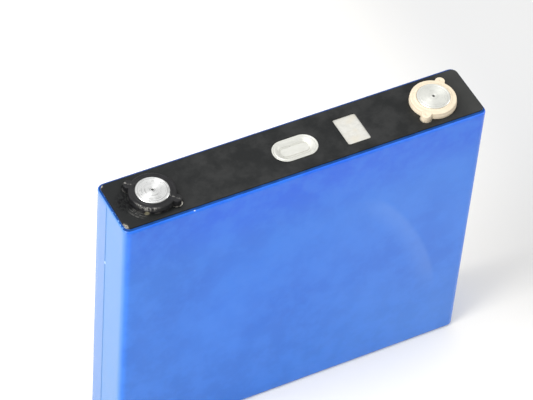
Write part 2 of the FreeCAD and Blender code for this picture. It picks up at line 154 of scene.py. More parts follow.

# Wear, painted reflection and painted shade, in millimetres, and last the chip's place in plan, in metres.
FLECK_PLACE = (-46.7, -12.5, 122.9)
BLISTER_PLACE = (-74.15, 2.9, 91.0)
FRAY_PLACE = (-73.4, -5.5, 123.1)
# The painted reflection arc on the front: its centre in x and z, and its radius.
REFLECTION_ARC_CENTRE = (-66.0, 9.0)
REFLECTION_ARC_RADIUS = 128.0
CHIP_PLACE = (-72.6, -9.8, 123.0)
REAR_CHIP_PLACE = (-72.5, 11.3, 123.0)
SHADED_HOLLOWS_PLACE = (-66.8, 0.5, 123.0)
SCUFF_PLACE = (-65.3, -5.2, 123.0)
RUB_PLACE = (-62.7, -6.5, 125.3)
SMEAR_PLACE = (-62.8, -7.1, 123.2)
SMEAR_COLOUR = (0.22, 0.20, 0.13)
EAR_SHADE_PLACE = (-65.8, 7.6, 122.2)
CHIP_CORNER = Vector(CHIP_PLACE[:2]) * MM


def add_node(tree, kind, values=(), **settings):
    """A new node with its settings; each value is set on, or linked to, the input it is paired with."""
    node = tree.nodes.new(kind)
    for name, value in settings.items():
        setattr(node, name, value)
    for socket, value in dict(values).items():
        if isinstance(value, bpy.types.NodeSocket):
            tree.links.new(value, node.inputs[socket])
        else:
            node.inputs[socket].default_value = value
    return node


class Look:
    """A procedural material: one Principled shader and the nodes that feed its colour, roughness and bump."""

    def __init__(self, name, roughness=0.5, metallic=0.0, ior=1.5, specular=0.5):
        self.material = bpy.data.materials.new("finish_" + name)
        self.material.use_nodes = True
        self.tree = self.material.node_tree
        self.shader = self.tree.nodes["Principled BSDF"]
        self.place = self.add("ShaderNodeTexCoord").outputs["Object"]
        self.painted = None
        self.normal = None
        self.fix("Roughness", roughness)
        self.fix("Metallic", metallic)
        self.fix("IOR", ior)
        self.fix("Specular IOR Level", specular)

    def add(self, kind, values=(), **settings):
        return add_node(self.tree, kind, values, **settings)

    def fix(self, socket, value):
        """A value that is the same all over goes on the shader's own socket."""
        self.shader.inputs[socket].default_value = value

    def feed(self, socket, source):
        """A value that varies is linked to the shader's socket."""
        self.tree.links.new(source, self.shader.inputs[socket])

    def axes(self):
        """The three object coordinates, in metres."""
        node = self.add("ShaderNodeSeparateXYZ", {"Vector": self.place})
        return node.outputs["X"], node.outputs["Y"], node.outputs["Z"]

    def stretched(self, stretch, shift=(0.0, 0.0, 0.0)):
        """Object coordinates in metres, scaled by a factor along each axis."""
        values = {"Vector": self.place, "Scale": stretch, "Location": shift}
        return self.add("ShaderNodeMapping", values).outputs["Vector"]

    def noise(self, size, detail=3.0, rough=0.5, stretch=(1, 1, 1), shift=(0, 0, 0), twist=0.0):
        """Soft noise round 0.5: blobs about size millimetres across, with finer detail, smooth to rough."""
        values = {"Vector": self.stretched(stretch, shift), "Scale": 1.0 / (size * MM),
                  "Detail": detail, "Roughness": rough, "Distortion": twist}
        return self.add("ShaderNodeTexNoise", values).outputs["Fac"]

    def rings(self, distance, size, detail=2.0):
        """Noise along one distance only: bands about size millimetres wide."""
        values = {"W": distance, "Scale": 1.0 / (size * MM), "Detail": detail}
        return self.add("ShaderNodeTexNoise", values, noise_dimensions="1D").outputs["Fac"]

    def bearing_lines(self):
        """Fine lines that run outwards from the negative terminal's axis: noise along the bearing only."""
        x, y, _ = self.axes()
        bearing = self.math("ARCTAN2", y, self.math("ADD", x, TERMINAL_X))
        return self.rings(bearing, 45.0, 3.0)

    def spot(self, centre, radius, stretch=(1, 1, 1)):
        """1 at a place given in millimetres, falling to 0 at radius millimetres from it."""
        scaled = [value * factor * MM for value, factor in zip(centre, stretch)]
        node = self.add("ShaderNodeVectorMath", {0: self.stretched(stretch), 1: scaled}, operation="DISTANCE")
        return self.band(node.outputs["Value"], radius, 0.4 * radius)

    def math(self, operation, *values):
        return self.add("ShaderNodeMath", enumerate(values), operation=operation).outputs["Value"]

    def times(self, *factors):
        """The factors multiplied together."""
        total = factors[0]
        for factor in factors[1:]:
            total = self.math("MULTIPLY", total, factor)
        return total

    def distance(self, first, second, centre):
        """Distance in metres from a centre in the plane of two axes."""
        along = self.math("SUBTRACT", first, centre[0])
        across = self.math("SUBTRACT", second, centre[1])
        return self.math("SQRT", self.math("ADD", self.times(along, along), self.times(across, across)))

    def terminal_radius(self):
        """Distance in metres from the nearer terminal's axis."""
        x, y, _ = self.axes()
        return self.distance(self.math("ABSOLUTE", x), y, (TERMINAL_X, 0.0))

    def remap(self, source, start, end, after=1.0, before=0.0):
        """A smooth swing from one value, where the source is at start, to another where it is at end."""
        values = {"Value": source, "From Min": start, "From Max": end, "To Min": before, "To Max": after}
        return self.add("ShaderNodeMapRange", values, interpolation_type="SMOOTHSTEP").outputs["Result"]

    def band(self, source, start, end, after=1.0, before=0.0):
        """The same as remap, for a source in metres between two distances in millimetres."""
        return self.remap(source, start * MM, end * MM, after, before)

    def rough(self, source, start, end):
        """Roughness that swings between two values with a noise."""
        self.feed("Roughness", self.remap(source, 0.3, 0.7, end, start))

    def paint(self, share, colour, under=None):
        """Lays a colour over what is painted so far, or over a first colour, by a share from 0 to 1."""
        below = self.painted if under is None else (*under, 1.0)
        node = self.add("ShaderNodeMix", {"Factor": share, 6: below, 7: (*colour, 1.0)}, data_type="RGBA")
        self.painted = node.outputs[2]
        self.feed("Base Color", self.painted)

    def bump(self, height, depth, strength=1.0):
        """Adds relief: height from 0 to 1 stands depth millimetres high."""
        values = {"Strength": strength, "Distance": depth * MM, "Height": height}
        if self.normal is not None:
            values["Normal"] = self.normal
        self.normal = self.add("ShaderNodeBump", values).outputs["Normal"]
        self.feed("Normal", self.normal)


def shade(colour, share):
    """A colour darkened to a share of itself."""
    return tuple(share * channel for channel in colour)


def painted_reflection_arc(look):
    """The share of a painted reflection across the front, a faint pale arc: sharp on its outer side, soft on
    its inner one.
    """
    x, y, z = look.axes()
    reach = look.distance(x, z, (REFLECTION_ARC_CENTRE[0] * MM, REFLECTION_ARC_CENTRE[1] * MM))
    inner_side = look.band(reach, REFLECTION_ARC_RADIUS - 9.0, REFLECTION_ARC_RADIUS, 0.085)
    outer_side = look.band(reach, REFLECTION_ARC_RADIUS + 2.5, REFLECTION_ARC_RADIUS)
    below_top = look.band(z, 98, 86)
    above_foot = look.band(z, 26, 46)
    on_front = look.math("LESS_THAN", y, 0.0)
    return look.times(inner_side, outer_side, below_top, above_foot, on_front)


def blue_film():
    """Glossy blue film: deeper along its top, faintly mottled, with a painted sheen towards +X, a painted
    reflection arc across the front, painted light making the lapped negative end paler, and painted shade
    along the rear shoulder.
    """
    look = Look("blue_film", specular=0.40)
    x, y, z = look.axes()
    broad = look.noise(38, 2.0)
    mottle = look.noise(9, 4.0, 0.6)
    look.paint(look.remap(broad, 0.3, 0.7), (0.021, 0.175, 0.740), under=(0.013, 0.142, 0.665))
    look.paint(look.band(z, 92, 120, 0.80), (0.004, 0.106, 0.740))
    look.paint(look.band(z, 70, 0, 0.60), (0.014, 0.150, 0.570))
    look.paint(look.band(x, -30, -60, 0.30), (0.008, 0.118, 0.490))
    look.paint(look.remap(mottle, 0.36, 0.66, 0.42), (0.032, 0.205, 0.79))
    # painted sheen: the film is painted paler towards +X
    painted_sheen = look.times(look.band(x, -20, 75, 0.085), look.remap(broad, 0.2, 0.8, 1.3, 0.7))
    look.paint(painted_sheen, (0.32, 0.53, 0.86))
    # painted reflection: a faint pale arc across the front
    look.paint(painted_reflection_arc(look), (0.38, 0.60, 0.94))
    # painted light: the negative end face is painted paler, and its lapped strip a greyer blue over that
    end = look.band(x, -72.8, -74.2)
    look.paint(end, (0.080, 0.228, 0.52))
    lap = look.remap(y, LAP_START, LAP_START + 0.6 * MM, 0.22)
    look.paint(look.times(end, lap), (0.16, 0.20, 0.52))
    # painted shade: the film's rear shoulder is darkened to a deep blue
    rear_shoulder_shade = look.times(look.band(z, 122.2, 122.7), look.band(y, 11.2, 12.2, 0.85))
    look.paint(rear_shoulder_shade, (0.004, 0.030, 0.12))
    look.paint(look.spot(BLISTER_PLACE, 0.65, (1, 1, 0.6)), (0.36, 0.52, 0.90))
    look.paint(look.spot(FLECK_PLACE, 0.60), (0.80, 0.86, 0.95))
    look.rough(broad, 0.20, 0.25)
    look.bump(look.noise(14, 2.0, stretch=(1, 1, 0.6)), 0.10, 0.6)
    look.bump(look.noise(0.7, 2.0), 0.004, 0.5)
    return look.material


def film_lip():
    """The film's lip over the rim: the same blue, painted dark as shade and dull, with frayed specks at the
    negative end.
    """
    look = Look("film_lip", specular=0.12)
    tone = look.noise(4, 3.0)
    # painted shade: the lip's blue is far darker than the film's
    look.paint(look.remap(tone, 0.35, 0.7), (0.009, 0.066, 0.29), under=(0.004, 0.046, 0.20))
    specks = look.remap(look.noise(0.9, 3.0, 0.7), 0.54, 0.62)
    look.paint(look.times(look.spot(FRAY_PLACE, 6.5), specks), (0.22, 0.42, 0.80))
    look.rough(tone, 0.42, 0.58)
    look.bump(look.noise(1.2, 2.0), 0.02, 0.5)
    return look.material


def black_sheet():
    """Matt black plastic sheet: fine grain, soft clouds, scuffs by the negative terminal, chipped corners,
    painted shade towards -X and in dents left of the negative terminal, and a painted sheen towards +X.
    """
    look = Look("black_sheet", ior=1.46, specular=0.36)
    x, _, _ = look.axes()
    grain = look.noise(0.45, 3.0, 0.7)
    cloud = look.noise(9, 5.0, 0.65)
    broken = look.noise(1.5, 4.0, 0.7)
    look.paint(look.remap(cloud, 0.35, 0.68), (0.0190, 0.0197, 0.0197), under=(0.0035, 0.0045, 0.0048))
    # painted shade: the sheet darkens towards the negative end
    look.paint(look.band(x, -36, -70, 0.85), (0.002, 0.003, 0.003))
    look.paint(look.remap(grain, 0.55, 0.80, 0.35), (0.050, 0.050, 0.050))
    # painted sheen: the sheet is painted lighter towards the positive end
    look.paint(look.band(x, 58, 73, 0.60), (0.045, 0.046, 0.043))
    # painted shade: dents left of the negative ring are painted almost black; the same mask roughens and
    # sinks them
    shaded_hollows = look.times(look.spot(SHADED_HOLLOWS_PLACE, 6.2), look.remap(broken, 0.54, 0.46, 0.9))
    look.paint(shaded_hollows, (0.001, 0.001, 0.002))
    arcs = look.remap(look.rings(look.terminal_radius(), 0.55), 0.50, 0.58)
    scuffs = look.times(look.spot(SCUFF_PLACE, 4.4), look.remap(broken, 0.40, 0.55))
    look.paint(look.times(arcs, scuffs, 0.75), (0.15, 0.148, 0.140))
    chip = look.times(look.spot(CHIP_PLACE, 1.25, (1, 0.6, 1)), look.remap(grain, 0.42, 0.52))
    rear_chip = look.times(look.spot(REAR_CHIP_PLACE, 1.0), look.remap(grain, 0.34, 0.46))
    look.paint(look.math("MAXIMUM", chip, rear_chip), (0.42, 0.38, 0.31))
    look.paint(look.times(look.spot(SMEAR_PLACE, 1.0, (0.7, 1, 1)), 0.8), SMEAR_COLOUR)
    satin = look.remap(grain, 0.3, 0.7, 0.58, 0.42)
    look.feed("Roughness", look.math("ADD", satin, look.times(shaded_hollows, 0.5)))
    look.bump(grain, 0.02, 0.7)
    look.bump(cloud, 0.10, 0.5)
    look.bump(shaded_hollows, 0.25, 1.0)
    return look.material


def bare_lid():
    """Bare rolled aluminium: satin, mottled by handling, with painted shade by one ear of the negative ring.
    """
    look = Look("bare_lid", metallic=0.6)
    mottle = look.noise(1.8, 5.0, 0.65)
    lines = look.noise(0.25, 2.0, stretch=(0.06, 1, 1))
    look.paint(look.remap(mottle, 0.35, 0.70), (0.775, 0.765, 0.715), under=(0.69, 0.685, 0.64))
    stain = look.noise(6, 2.0, shift=(0.003, 0.002, 0))
    look.paint(look.remap(stain, 0.40, 0.62, 0.8), (0.74, 0.70, 0.60))
    look.paint(look.remap(lines, 0.4, 0.7, 0.3), (0.62, 0.61, 0.58))
    # painted shade: the lid is painted dark round one ear of the negative ring
    ear_shade = look.times(look.spot(EAR_SHADE_PLACE, 4.5), look.remap(mottle, 0.40, 0.62, 0.75, 1.0))
    look.paint(ear_shade, (0.020, 0.018, 0.020))
    look.rough(mottle, 0.60, 0.48)
    look.bump(lines, 0.010, 0.5)
    look.bump(mottle, 0.03, 0.4)
    return look.material


def turned_aluminium(name, colour, roughness, brushed, marks_and_shade):
    """Face-turned aluminium terminal: lathe lines round its centre, broken dark arcs, painted shade in its
    groove, and a dimple painted dark as shade.
    """
    look = Look(name, metallic=1.0)
    _, y, _ = look.axes()
    reach = look.terminal_radius()
    lines = look.rings(reach, 0.22)
    stain = look.noise(2.4, 4.0, 0.6)
    look.paint(look.remap(stain, 0.45, 0.75, 0.6), shade(colour, 0.80), under=colour)
    look.paint(look.remap(lines, 0.45, 0.70, marks_and_shade), shade(colour, 0.62))
    look.paint(look.remap(look.rings(reach, 1.1), 0.50, 0.72, 0.40), shade(colour, 0.80))
    arcs = look.remap(look.rings(reach, 0.60, 3.0), 0.50, 0.60)
    broken = look.noise(2.6, 2.0, shift=(0.004, 0.001, 0))
    look.paint(look.times(arcs, look.remap(broken, 0.50, 0.60, marks_and_shade)), shade(colour, 0.42))
    # painted shade: the groove is darkened, most on its front side
    from_groove = look.math("ABSOLUTE", look.math("SUBTRACT", reach, GROOVE_RADIUS))
    groove_shade = look.band(y, -3.0, 1.0, 0.3 * marks_and_shade, marks_and_shade)
    look.paint(look.times(look.band(from_groove, 0.14, 0.03), groove_shade), shade(colour, 0.45))
    # painted shade: the centre dimple is painted dark
    look.paint(look.band(reach, 0.62, 0.42), (0.10, 0.10, 0.095))
    look.rough(lines, roughness, roughness + 0.12)
    look.fix("Anisotropic", brushed)
    look.fix("Anisotropic Rotation", 0.25)
    tangent = look.add("ShaderNodeTangent", direction_type="RADIAL", axis="Z")
    look.feed("Tangent", tangent.outputs["Tangent"])
    look.bump(lines, 0.010, 0.5)
    return look.material


def stamped_aluminium():
    """Stamped vent frame and membrane: blasted, almost white aluminium with light scratches along X."""
    look = Look("stamped_aluminium", metallic=0.6)
    mottle = look.noise(2.2, 4.0, 0.6)
    scratch = look.noise(0.30, 2.0, stretch=(0.06, 1, 1), twist=0.3)
    look.paint(look.remap(mottle, 0.35, 0.7), (0.725, 0.725, 0.68), under=(0.695, 0.695, 0.645))
    look.paint(look.remap(scratch, 0.56, 0.72, 0.40), (0.52, 0.52, 0.50))
    look.rough(mottle, 0.52, 0.47)
    look.bump(scratch, 0.010, 0.5)
    return look.material


def moulded_plastic(name, light, dark, roughness, specular, wear, wear_share):
    """Moulded terminal plastic: fine speckle, flow marks and edges rubbed to the wear colour."""
    look = Look(name, specular=specular)
    flow = look.noise(3.0, 4.0, 0.6)
    look.paint(look.remap(flow, 0.35, 0.7), light, under=dark)
    edges = look.remap(look.add("ShaderNodeNewGeometry").outputs["Pointiness"], 0.52, 0.62)
    patches = look.remap(look.noise(1.4, 5.0, 0.7), 0.45, 0.65)
    look.paint(look.times(edges, patches, wear_share), wear)
    ticks = look.math("ADD", look.bearing_lines(), look.noise(0.7, 3.0, 0.7))
    outer_edge = look.band(look.terminal_radius(), 8.1, 8.35)
    rubbed = look.times(look.spot(RUB_PLACE, 5.6, (1, 1, 3.6)), outer_edge)
    look.paint(look.times(rubbed, look.remap(ticks, 0.93, 1.10), wear_share), wear)
    look.paint(look.times(look.spot(SMEAR_PLACE, 0.9, (0.7, 1, 1)), wear_share), SMEAR_COLOUR)
    look.rough(flow, roughness - 0.06, roughness + 0.08)
    look.bump(look.noise(0.22, 3.0), 0.010, 0.6)
    look.bump(flow, 0.04, 0.4)
    return look.material


def cold_metal(name, bright, tarnished, roughness):
    """Sheet metal inside the cell: brushed up and down, and faintly tarnished."""
    look = Look(name, metallic=1.0)
    tarnish = look.noise(6, 5.0, 0.6)
    brushed = look.noise(0.4, 2.0, stretch=(1, 1, 0.05))
    look.paint(look.remap(tarnish, 0.4, 0.75), tarnished, under=bright)
    look.paint(look.remap(brushed, 0.45, 0.75, 0.3), tarnished)
    look.rough(tarnish, roughness, roughness + 0.15)
    look.bump(brushed, 0.012, 0.5)
    return look.material


def layered(name, light, dark, pitch, stretch, roughness):
    """A stack of thin layers seen edge on: fine lines pitch millimetres apart, with uneven tone."""
    look = Look(name)
    lines = look.noise(pitch, 2.0, stretch=stretch)
    tone = look.noise(14, 3.0)
    look.paint(look.remap(lines, 0.35, 0.65), light, under=dark)
    look.paint(look.remap(tone, 0.4, 0.75, 0.35), dark)
    look.rough(lines, roughness, roughness + 0.15)
    look.bump(lines, 0.03, 0.6)
    return look.material


def soft_plastic(name, light, dark, roughness, grain):
    """Plain inner plastic, rubber or tape: cloudy tone and a fine surface grain."""
    look = Look(name, roughness=roughness)
    cloud = look.noise(7, 4.0, 0.6)
    look.paint(look.remap(cloud, 0.35, 0.7), light, under=dark)
    look.rough(cloud, roughness - 0.05, roughness + 0.08)
    look.bump(look.noise(grain, 3.0), 0.010, 0.6)
    return look.material


MATERIALS = {
    "blue_film": blue_film(),
    "film_lip": film_lip(),
    "black_sheet": black_sheet(),
    "can_aluminium": bare_lid(),
    # Shaded and lit copies of one turned aluminium: the negative disc's is painted darker as shade against
    # its stronger highlight, the positive disc's paler as painted light.
    "terminal_shaded": turned_aluminium("terminal_shaded", (0.85, 0.855, 0.845), 0.29, 0.62, 0.75),
    "terminal_lit": turned_aluminium("terminal_lit", (0.91, 0.915, 0.855), 0.34, 0.46, 0.22),
    "vent_aluminium": stamped_aluminium(),
    "black_plastic": moulded_plastic(
        "black_plastic", (0.014, 0.014, 0.016), (0.006, 0.006, 0.007), 0.42, 0.32, (0.30, 0.29, 0.27), 0.8),
    "cream_plastic": moulded_plastic(
        "cream_plastic", (0.79, 0.68, 0.52), (0.74, 0.63, 0.47), 0.50, 0.45, (0.88, 0.81, 0.69), 0.5),
    "copper": cold_metal("copper", (0.93, 0.50, 0.34), (0.55, 0.27, 0.17), 0.28),
    "foil_aluminium": cold_metal("foil_aluminium", (0.90, 0.90, 0.91), (0.62, 0.62, 0.63), 0.30),
    "seal_rubber": soft_plastic("seal_rubber", (0.035, 0.030, 0.030), (0.020, 0.018, 0.018), 0.70, 0.3),
    "inner_plastic": soft_plastic("inner_plastic", (0.74, 0.75, 0.74), (0.64, 0.65, 0.65), 0.42, 0.5),
    "clear_plastic": soft_plastic("clear_plastic", (0.70, 0.74, 0.78), (0.60, 0.64, 0.70), 0.22, 1.2),
    "electrode": layered("electrode", (0.060, 0.062, 0.066), (0.022, 0.023, 0.026), 0.3, (1, 1, 0.04), 0.6),
    "separator": layered("separator", (0.86, 0.86, 0.85), (0.72, 0.72, 0.70), 0.9, (0.05, 1, 1), 0.5),
    "roll_tape": soft_plastic("roll_tape", (0.14, 0.38, 0.20), (0.09, 0.28, 0.14), 0.35, 0.8),
}
SLOT_MATERIALS = {"terminal_aluminium": "terminal_shaded"}


def dress_cad_nodes():
    """Every carried-over CAD node takes the procedural material of its record slot."""
    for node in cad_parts.values():
        slot = node.data.materials[0].name
        node.data.materials[0] = MATERIALS[SLOT_MATERIALS.get(slot, slot)]


# ---- mesh helpers

def add_piece(name, points, faces, material, smooth_angle=35.0):
    """A mesh piece that rides on the cell's one body."""
    mesh = bpy.data.meshes.new(name)
    mesh.from_pydata([tuple(point) for point in points], [], faces)
    mesh.validate()
    mesh.polygons.foreach_set("use_smooth", [True] * len(mesh.polygons))
    mesh.set_sharp_from_angle(angle=math.radians(smooth_angle))
    piece = bpy.data.objects.new(name, mesh)
    bpy.context.scene.collection.objects.link(piece)
    mesh.materials.append(MATERIALS[material])
    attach(piece, ROOT)
    return piece


def loft(loops, closed=False, flip=False):
    """Points and faces through equal loops: ends capped, or joined if closed; flip turns the faces over."""
    count = len(loops[0])
    last = (len(loops) - 1) * count
    points = [point for loop in loops for point in loop]
    starts = [(low, low + count) for low in range(0, last, count)]
    if closed:
        starts.append((last, 0))
    faces = []
    for low, high in starts:
        for i in range(count):
            j = (i + 1) % count
            faces.append((low + i, low + j, high + j, high + i))
    if not closed:
        faces.append(tuple(reversed(range(count))))
        faces.append(tuple(range(last, last + count)))
    if flip:
        faces = [tuple(reversed(face)) for face in faces]
    return points, faces


def polar(angle, reach=1.0):
    """A plan vector of a given length in one direction."""
    return Vector((math.cos(angle), math.sin(angle))) * reach


def raised(point, height=0.0):
    """A plan point at a height."""
    return Vector((point.x, point.y, height))


def arc(centre, radius, start, end, steps):
    """Points on an arc in a profile plane, angles in degrees, both ends included."""
    points = []
    for i in range(steps + 1):
        angle = math.radians(start + (end - start) * i / steps)
        points.append((centre[0] + radius * math.cos(angle), centre[1] + radius * math.sin(angle)))
    return points


def smooth_step(value, start, end):
    """0 before start, 1 after end, with an even swing between."""
    share = min(1.0, max(0.0, (value - start) / (end - start)))
    return share * share * (3 - 2 * share)


def smooth_max(first, second, width):
    """The larger of two values, with the corner between them rounded."""
    mix = max(width - abs(first - second), 0.0) / width
    return max(first, second) + mix * mix * width / 4


# ---- film

def film_stations():
    """Stations (point, outward normal) round the film's wall, anticlockwise, closer together at the lap."""
    flat_x = FILM_HIGH.x - EDGE_RADIUS
    flat_y = FILM_HIGH.y - EDGE_RADIUS
    lap_stops = [LAP_EDGE_START, LAP_START, LAP_EDGE_END, LAP_START + 0.10 * MM]
    lap_stops += [LAP_END - LAP_TAPER + 0.15 * MM * i for i in range(7)]
    corner_steps = 10
    pitch = 1.8 * MM
    stations = []
    for quarter, (side_x, side_y) in enumerate(((1, -1), (1, 1), (-1, 1), (-1, -1))):
        normal = Vector(((1, 0), (0, 1), (-1, 0), (0, -1))[quarter])
        along = Vector((-normal.y, normal.x))
        half = flat_x if normal.x == 0 else flat_y
        start = Vector((side_x * flat_x, side_y * flat_y)) + normal * EDGE_RADIUS
        steps = round(2 * half / pitch)
        shares = {i / steps for i in range(steps)}
        if normal.x < 0:
            shares |= {(flat_y - y) / (2 * flat_y) for y in lap_stops}
        stations += [(start + along * (2 * half * share), normal) for share in sorted(shares)]
        hub = start + along * (2 * half) - normal * EDGE_RADIUS
        for i in range(corner_steps):
            outward = polar(TURN / 4 * (quarter + i / corner_steps))
            stations.append((hub + outward * EDGE_RADIUS, outward))
    return stations


def wall_path():
    """The film's outer path from the underside up the wall to the shoulder: (inset, height)."""
    bottom = FILM_LOW.z + FLAP_THICKNESS
    wall_start = bottom + BOTTOM_RADIUS
    wall_height = FILM_HIGH.z - SHOULDER_RADIUS - wall_start
    path = []
    for angle in range(0, 91, 10):
        turn = math.radians(angle)
        path.append((BOTTOM_RADIUS * (1 - math.sin(turn)), bottom + BOTTOM_RADIUS * (1 - math.cos(turn))))
    path += [(0.0, wall_start + wall_height * i / WALL_STEPS) for i in range(1, WALL_STEPS)]
    return path


def shoulder_height(inset):
    """The height over the rounded shoulder, and on the flat lip behind it, at an inset from the wall."""
    across = max(SHOULDER_RADIUS - inset, 0.0)
    return FILM_HIGH.z - SHOULDER_RADIUS + math.sqrt(SHOULDER_RADIUS ** 2 - across ** 2)


def lip_start(normal):
    """How far in over the shoulder the film's turned-in lip begins."""
    return LIP_START_SIDES + (LIP_START_ENDS - LIP_START_SIDES) * normal.x ** 2


def lip_end(point, normal):
    """How far in the lip reaches: to just short of the black sheet, with an edge that wanders a little."""
    reach = 0.0
    for _ in range(24):
        place = point - normal * reach - SHEET_CENTRE
        over_x = abs(place.x) - (SHEET_HALF_X + LIP_GAP - LIP_CORNER_RADIUS)
        over_y = abs(place.y) - (SHEET_HALF_Y + LIP_GAP - LIP_CORNER_RADIUS)
        outside = math.hypot(max(over_x, 0.0), max(over_y, 0.0)) + min(max(over_x, over_y), 0.0)
        reach += outside - LIP_CORNER_RADIUS
    wander = noise.noise(raised(point) / (6 * MM)) + 0.6 * noise.noise(raised(point) / (1.8 * MM))
    return reach - 0.05 * MM * max(0.0, 0.8 + wander)


def lap_rise(point, normal, height):
    """How far the film's overlapped strip stands out on the negative end."""
    if normal.x > -0.99:
        return 0.0
    up = smooth_step(point.y, LAP_EDGE_START, LAP_EDGE_END)
    down = smooth_step(point.y, LAP_END - LAP_TAPER, LAP_END)
    ends = smooth_step(height, 0.5 * MM, 2.0 * MM) * (1 - smooth_step(height, 121.2 * MM, 122.3 * MM))
    return LAP_RISE * up * (1 - down) * ends


def film_ripple(point, height):
    """Shallow ripples of the shrunk film, inward only; deeper by the rounded ends."""
    place = raised(point, height)
    slow = 0.5 + 0.5 * noise.noise(place / (24 * MM))
    quick = 0.5 + 0.5 * noise.noise(place / (7 * MM) + Vector((5.0, 1.0, 3.0)))
    ends = smooth_step(abs(point.x), 62 * MM, 74 * MM)
    return (0.030 + 0.015 * ends) * MM * slow + (0.006 + 0.010 * ends) * MM * quick


def film_loop(stations, insets, heights):
    """A loop of the film round all the stations, with the lap and the ripples."""
    loop = []
    for (point, normal), inset, height in zip(stations, insets, heights):
        wall = smooth_step(height, 0.5 * MM, 4 * MM) * (1 - smooth_step(height, 120.5 * MM, 122 * MM))
        out = lap_rise(point, normal, height) - film_ripple(point, height) * wall - inset
        loop.append(raised(point + normal * out, height))
    return loop


def build_film():
    """The blue film: a thin closed skin round the walls and over the shoulder, lapped on the negative end."""
    stations = film_stations()
    turns = [math.acos(1 - lip_start(normal) / SHOULDER_RADIUS) for _, normal in stations]
    outer = [film_loop(stations, [inset] * len(stations), [height] * len(stations))
             for inset, height in wall_path()]
    inner = []
    for inset, height in wall_path()[::2]:
        low = max(height, FILM_LOW.z + FILM_THICKNESS)
        inner.append([raised(point - normal * max(inset, FILM_THICKNESS), low) for point, normal in stations])
    for i in range(SHOULDER_STEPS + 1):
        shares = [turn * i / SHOULDER_STEPS for turn in turns]
        for rows, radius in ((outer, SHOULDER_RADIUS), (inner, SHOULDER_RADIUS - FILM_THICKNESS)):
            insets = [SHOULDER_RADIUS - radius * math.cos(turn) for turn in shares]
            heights = [FILM_HIGH.z - SHOULDER_RADIUS + radius * math.sin(turn) for turn in shares]
            rows.append(film_loop(stations, insets, heights))
    points, faces = loft(outer + inner[::-1])
    film = add_piece("film_skin", points, faces, "blue_film", 50.0)
    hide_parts("film_wrap")


def build_film_lip():
    """The film's lip, turned in flat on the can's rim up to the black sheet."""
    stations = film_stations()
    upper = []
    lower = []
    for i in range(SHOULDER_STEPS + 1):
        insets = []
        for point, normal in stations:
            start = lip_start(normal)
            insets.append(start + (lip_end(point, normal) - start) * i / SHOULDER_STEPS)
        heights = [shoulder_height(inset) for inset in insets]
        upper.append(film_loop(stations, insets, heights))
        lower.append(film_loop(stations, insets, [height - FILM_THICKNESS for height in heights]))
    points, faces = loft(upper + lower[::-1], closed=True)
    add_piece("film_lip", points, faces, "film_lip", 50.0)


def build_bottom_folds():
    """Two long flaps of film folded across the underside, mitred at their ends like a parcel's."""
    reach_x = FILM_HIGH.x - BOTTOM_RADIUS - 0.3 * MM
    reach_y = FILM_HIGH.y - BOTTOM_RADIUS - 0.2 * MM
    rounding = 0.02 * MM
    steps = 40
    for name, side in (("film_flap_front", -1), ("film_flap_rear", 1)):
        edge = FLAP_SEAM + side * FLAP_GAP / 2
        corners = [(-reach_x, side * reach_y), (reach_x, side * reach_y),
                   (reach_x - FLAP_MITRE, edge), (-reach_x + FLAP_MITRE, edge)]
        if side > 0:
            corners.reverse()
        outline = []
        for start, end in zip(corners, corners[1:] + corners[:1]):
            outline += [Vector(start).lerp(Vector(end), j / steps) for j in range(steps)]
        centre = sum(outline, Vector((0, 0))) / len(outline)
        loops = []
        for shrink, height in ((rounding, 0.0), (0.0, rounding), (0.0, FLAP_THICKNESS)):
            loops.append([raised(point + (centre - point).normalized() * shrink, FILM_LOW.z + height)
                          for point in outline])
        points, faces = loft(loops)
        add_piece(name, points, faces, "blue_film")


# ---- black sheet

class Opening:
    """A star-shaped cut-out: its outline, its centre and how far the outline lies from it at most."""

    def __init__(self, loop):
        self.loop = loop
        self.centre = sum(loop, Vector((0, 0))) / len(loop)
        self.reach = max((corner - self.centre).length for corner in loop)

    def holds(self, point, margin=0.0):
        """Whether a point lies inside the cut-out, or within margin of its outline."""
        if (point - self.centre).length > self.reach + margin:
            return False
        inside = False
        for start, end in zip(self.loop, self.loop[1:] + self.loop[:1]):
            if (start.y > point.y) != (end.y > point.y):
                crossing = start.x + (point.y - start.y) / (end.y - start.y) * (end.x - start.x)
                inside = inside != (point.x < crossing)
        return inside or (margin > 0 and min((corner - point).length for corner in self.loop) < margin)


def offset_loop(loop, distance):
    """The closed loop moved to its left by distance; inward for one that runs anticlockwise."""
    moved = []
    for before, point, after in zip(loop[-1:] + loop[:-1], loop, loop[1:] + loop[:1]):
        along = (after - before).normalized()
        moved.append(point + Vector((-along.y, along.x)) * distance)
    return moved


def rounded_loop(half_x, half_y, radius, centre=(0, 0), corner_steps=12, flat_steps=None, pitch=1.0 * MM):
    """A rounded rectangle, anticlockwise; its straight sides take set counts of steps, or a pitch."""
    bends = []
    for side_x, side_y, start in ((1, -1, -90), (1, 1, 0), (-1, 1, 90), (-1, -1, 180)):
        hub = Vector(centre) + Vector((side_x * (half_x - radius), side_y * (half_y - radius)))
        bend = arc((0, 0), radius, start, start + 90, corner_steps)
        bends.append([hub + Vector(offset) for offset in bend])
    loop = []
    for index, bend in enumerate(bends):
        last, following = bend[-1], bends[index - 3][0]
        steps = flat_steps[index % 2] if flat_steps else max(1, round((following - last).length / pitch))
        loop += bend + [last.lerp(following, step / steps) for step in range(1, steps)]
    return loop


def terminal_centre(side):
    """A terminal's axis: side is -1 for the negative end and 1 for the positive."""
    return Vector((side * TERMINAL_X, 0.0))


